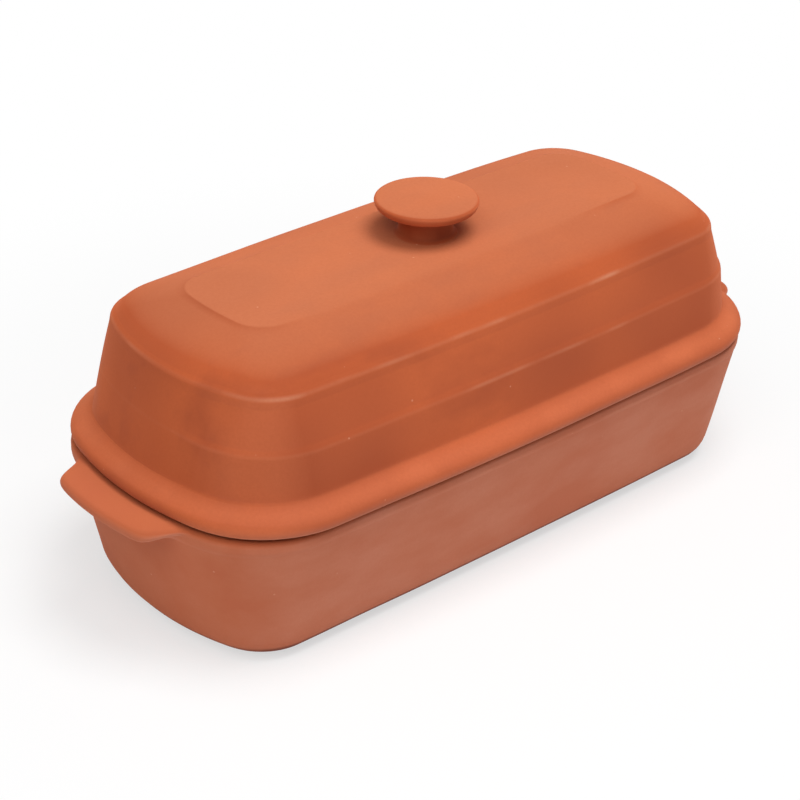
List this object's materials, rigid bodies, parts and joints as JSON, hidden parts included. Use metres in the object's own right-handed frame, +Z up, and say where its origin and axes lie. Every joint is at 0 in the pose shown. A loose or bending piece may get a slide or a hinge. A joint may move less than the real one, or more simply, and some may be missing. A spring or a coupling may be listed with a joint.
{
  "type": "terracotta bread baker",
  "caption": "Long covered clay baker: a tapered dish with a lug handle at each end and a lift-off domed lid with a turned knob, for baking a loaf in trapped steam.",
  "frame": {"origin": "centre of the dish's flat foot, on the surface that it stands on", "axes": "+X along the dish's length, +Y across it towards the back, +Z up along the way the lid lifts"},
  "size_m": [0.362, 0.1582, 0.1563],
  "materials": {
    "dish_terracotta": "unglazed matte",
    "lid_terracotta": "unglazed matte"
  },
  "bodies": {
    "base": {"base_dish": "dish_terracotta", "left_handle": "dish_terracotta", "right_handle": "dish_terracotta"},
    "lid": {"lid_dome": "lid_terracotta", "lid_knob": "lid_terracotta"}
  },
  "joints": [
    {"name": "lid_lift", "type": "slide", "parent": "base", "child": "lid", "axis": [0, 0, 1], "range_m": [0, 0.2]}
  ]
}
